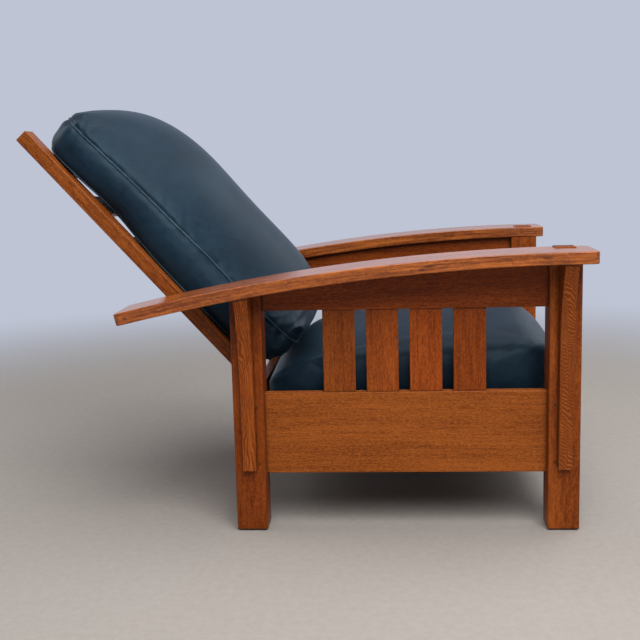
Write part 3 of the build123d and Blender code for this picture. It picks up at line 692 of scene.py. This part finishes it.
def swell(obj, size, shares):
    """Swells the cushion round its seam with a cloth simulation, and keeps the result."""
    start = points_of(obj.data)
    held = start[:, 2] < pin_width
    held |= np.abs(start[:, 2] - seam_height(start, size, shares)) < pin_width
    group = obj.vertex_groups.new(name="held")
    group.add([int(i) for i in np.flatnonzero(held)], 1.0, "REPLACE")
    cloth = obj.modifiers.new("swell", "CLOTH")
    cloth.settings.vertex_group_mass = group.name
    cloth.settings.use_pressure = True
    cloth.settings.uniform_pressure_force = pressure
    cloth.settings.effector_weights.gravity = 0
    cloth.point_cache.frame_start = 1
    cloth.point_cache.frame_end = swell_frames
    for step in range(1, swell_frames + 1):
        bpy.context.scene.frame_set(step)
    mesh = kept(obj)
    obj.vertex_groups.clear()
    moved = points_of(mesh) - start
    length = np.linalg.norm(moved, axis=1, keepdims=True)
    set_points(mesh, start + moved * np.minimum(1, swell_cap / np.maximum(length, least_move)))


def refine(obj):
    smooth = obj.modifiers.new("refine", "SUBSURF")
    smooth.levels = 1
    kept(obj)


def fit(obj, size):
    """Stretches the cushion to the room that its CAD solid has, with its base on the plane."""
    points = points_of(obj.data)
    low, high = points.min(0), points.max(0)
    points = (points - low) / (high - low) * np.array(size)
    points[:, 0] -= size.x / 2
    set_points(obj.data, points)


def pull_in_seam(obj, size, shares):
    """Draws the leather in along a seam, unevenly, so that it puckers a little."""
    points = points_of(obj.data)
    middle = np.array((0, size.y / 2))
    outward = points[:, :2] - middle
    outward /= np.maximum(np.linalg.norm(outward, axis=1, keepdims=True), voxel)
    wrinkle = np.array([noise.noise(Vector(p) * pucker_scale) for p in points])
    away = points[:, 2] - seam_height(points, size, shares)
    pull = groove_depth * np.exp(-((away / groove_width) ** 2))
    near = np.exp(-((away / (pucker_spread * groove_width)) ** 2))
    pucker = pucker_depth_share * groove_depth * wrinkle * near
    points[:, :2] -= outward * (pull * (1 + pucker_share * wrinkle) + pucker)[:, None]
    set_points(obj.data, points)


def fold_corners(obj, size, shares, at_top, depth):
    """Small folds across a seam where it turns the two corners at one end of the cushion."""
    points, normals = points_of(obj.data), normals_of(obj.data)
    away = points[:, 2] - seam_height(points, size, shares)
    near = np.exp(-((away / corner_fade) ** 2))
    out_x = np.abs(points[:, 0]) - (size.x / 2 - corner_reach)
    out_y = corner_reach - np.abs(points[:, 1] - (size.y if at_top else 0))
    inside = np.clip(np.minimum(out_x, out_y) / corner_reach, 0, 1)
    turn = np.arctan2(out_y, out_x)
    waves = np.cos(corner_folds * turn + corner_turn * np.sign(points[:, 0]))
    points += normals * (depth * near * np.sqrt(inside) * waves)[:, None]
    set_points(obj.data, points)


def crumple_end(obj, size):
    """Soft wrinkles across the lower end, where the cushion is pressed on its neighbour."""
    points, normals = points_of(obj.data), normals_of(obj.data)
    scaled = points * np.array(end_scale)
    waves = np.array([noise.noise(Vector(p)) for p in scaled])
    ridged = 1 - 2 * np.abs(waves) / np.abs(waves).max()
    fade = np.exp(-((points[:, 1] / end_fade) ** 2))
    above = np.clip(points[:, 2] / (end_rise_share * size.z), 0, 1)
    points += normals * (end_depth * fade * above * (ridged - 1))[:, None]
    set_points(obj.data, points)


def plump(obj, size):
    """Raises the seat's crown, which falls away to its edges and under the back cushion."""
    points = points_of(obj.data)
    side = np.clip(1 - (2 * points[:, 0] / size.x) ** 2, 0, 1)
    along = np.clip(points[:, 1] / size.y, 0, 1)
    length = np.interp(along, *plump_shares)
    height = np.clip(points[:, 2] / size.z, 0, 1) ** 2
    points[:, 2] += seat_lift * side * length * height
    set_points(obj.data, points)


def seam_line(obj, size, shares):
    """Points round the cushion's surface along a seam, with the surface's normals there."""
    mesh = obj.data
    mesh.calc_loop_triangles()
    faces = [tuple(t.vertices) for t in mesh.loop_triangles]
    tree = BVHTree.FromPolygons([v.co for v in mesh.vertices], faces)
    middle = Vector((0, size.y / 2, 0))
    line = []
    for n in range(welt_points):
        turn = 2 * pi * n / welt_points
        toward = Vector((cos(turn) * size.x, sin(turn) * size.y, 0)).normalized()
        spot = middle + toward * size.length / 2
        for _ in range(seam_steps):
            spot.z = seam_height(np.array([spot]), size, shares)[0]
            beside = (spot - middle).dot(toward)
            spot = middle + toward * beside + up * spot.z
            spot, normal, _, _ = tree.find_nearest(spot)
        line.append((spot, normal))
    return line


def make_welt(name, line, axes, body):
    """A leather-covered cord sewn in along a seam."""
    curve = bpy.data.curves.new(name, "CURVE")
    curve.dimensions = "3D"
    curve.bevel_depth = welt_radius
    curve.bevel_resolution = welt_roundness
    spline = curve.splines.new("NURBS")
    spline.points.add(len(line) - 1)
    for point, (hit, normal) in zip(spline.points, line):
        point.co = (*(hit + welt_stand_share * welt_radius * normal), 1)
    spline.use_cyclic_u = True
    spline.order_u = 4
    curve.transform(axes)
    curve.materials.append(welt_leather)
    obj = bpy.data.objects.new(name, curve)
    bpy.context.scene.collection.objects.link(obj)
    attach(obj, body)


def shaped_cushion(node_name, axes, size, shares):
    """The cushion's body: the CAD solid's form, swollen round its seam."""
    obj = core(node_name + "_leather", nodes[node_name], axes)
    swell(obj, size, shares)
    refine(obj)
    fit(obj, size)
    obj.data.materials.clear()
    obj.data.materials.append(leather)
    for polygon in obj.data.polygons:
        polygon.use_smooth = True
    return obj


def finish_cushion(obj, node_name, axes, size, welted):
    for n, shares in enumerate(welted):
        line = seam_line(obj, size, shares)
        make_welt(f"{node_name}_welt_{n + 1}", line, axes, node_name)
    obj.data.transform(axes)
    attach(obj, node_name)
    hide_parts(node_name)


def make_back_cushion():
    axes, size = cushion_axes(nodes["back_cushion"], up_the_back)
    obj = shaped_cushion("back_cushion", axes, size, back_front_seam)
    pull_in_seam(obj, size, back_front_seam)
    fold_corners(obj, size, back_front_seam, True, top_fold_depth)
    fold_corners(obj, size, back_front_seam, False, low_fold_depth)
    crumple_end(obj, size)
    finish_cushion(obj, "back_cushion", axes, size, [back_front_seam, back_rear_seam])


def make_seat_cushion():
    axes, size = cushion_axes(nodes["seat_cushion"], down_the_seat)
    obj = shaped_cushion("seat_cushion", axes, size, seat_top_seam)
    plump(obj, size)
    finish_cushion(obj, "seat_cushion", axes, size, [seat_bottom_seam])


# Stage


def add_camera():
    level = cos(camera_dip)
    ahead = Vector((cos(camera_turn) * level, sin(camera_turn) * level, -sin(camera_dip)))
    turn = Quaternion(ahead, camera_roll) @ ahead.to_track_quat("-Z", "Y")
    data = bpy.data.cameras.new("camera")
    data.lens = camera_lens
    data.sensor_width = camera_sensor
    data.sensor_fit = "HORIZONTAL"
    camera = bpy.data.objects.new("camera", data)
    camera.location = camera_place
    camera.rotation_mode = "QUATERNION"
    camera.rotation_quaternion = turn
    bpy.context.scene.collection.objects.link(camera)
    bpy.context.scene.camera = camera


def add_lamp(name, place, target, size, power):
    data = bpy.data.lights.new(name, "AREA")
    data.shape = "DISK"
    data.size = size
    data.energy = power
    lamp = bpy.data.objects.new(name, data)
    lamp.location = place
    lamp.rotation_mode = "QUATERNION"
    lamp.rotation_quaternion = (Vector(target) - Vector(place)).to_track_quat("-Z", "Y")
    bpy.context.scene.collection.objects.link(lamp)


def add_world():
    """A pale room: grey-blue for the camera and for reflections, and a soft light for the rest."""
    world = bpy.data.worlds.new("room")
    bpy.context.scene.world = world
    world.use_nodes = True
    tree = world.node_tree
    tree.nodes.clear()
    path = add(tree, "LightPath").outputs
    seen = maths(tree, "MAXIMUM", path["Is Camera Ray"], path["Is Glossy Ray"])
    seen = maths(tree, "MAXIMUM", seen, path["Is Transmission Ray"])
    light = add(tree, "Background", {"Color": room_colour, "Strength": room_light})
    wall = add(tree, "Background", {"Color": wall_colour, "Strength": 1.0})
    mixed = add(tree, "MixShader", {0: seen, 1: light.outputs[0], 2: wall.outputs[0]})
    add(tree, "OutputWorld", {"Surface": mixed.outputs[0]})


def add_floor():
    """A pale floor that fades into the room's colour away from the chair."""
    mesh = bpy.data.meshes.new("floor")
    corners = [(x * floor_reach, y * floor_reach, 0) for x, y in ((-1, -1), (1, -1), (1, 1), (-1, 1))]
    mesh.from_pydata(corners, [], [(0, 1, 2, 3)])
    floor = bpy.data.objects.new("floor", mesh)
    bpy.context.scene.collection.objects.link(floor)
    material, tree, shader = new_material("floor")
    place = object_place(tree)
    pile = grainy(tree, place, floor_pile, detail=5.0, rough=0.7)
    colour = blended(tree, pile, floor_dark, floor_light)
    bump = add(tree, "Bump", {"Height": pile, "Strength": 0.25, "Distance": 0.004})
    fill(tree, shader, Base_Color=colour, Roughness=0.9, Normal=bump.outputs[0])
    far = add(tree, "VectorMath", {0: place}, operation="LENGTH").outputs["Value"]
    glow = add(tree, "Emission", {"Color": wall_colour, "Strength": 1.0})
    share = spread(tree, far, floor_clear, floor_faded)
    mixed = add(tree, "MixShader", {0: share, 1: shader.outputs[0], 2: glow.outputs[0]})
    output = tree.nodes["Material Output"]
    tree.links.new(mixed.outputs[0], output.inputs["Surface"])
    mesh.materials.append(material)


oak_nodes = oak_group()
leather = leather_material("leather", leather_light)
welt_leather = leather_material("welt leather", welt_light)

dress_oak()
dress_fittings()
make_back_cushion()
make_seat_cushion()

add_camera()
add_world()
add_floor()
for lamp_values in lamps:
    add_lamp(*lamp_values)
bpy.context.scene.view_settings.view_transform = "Standard"
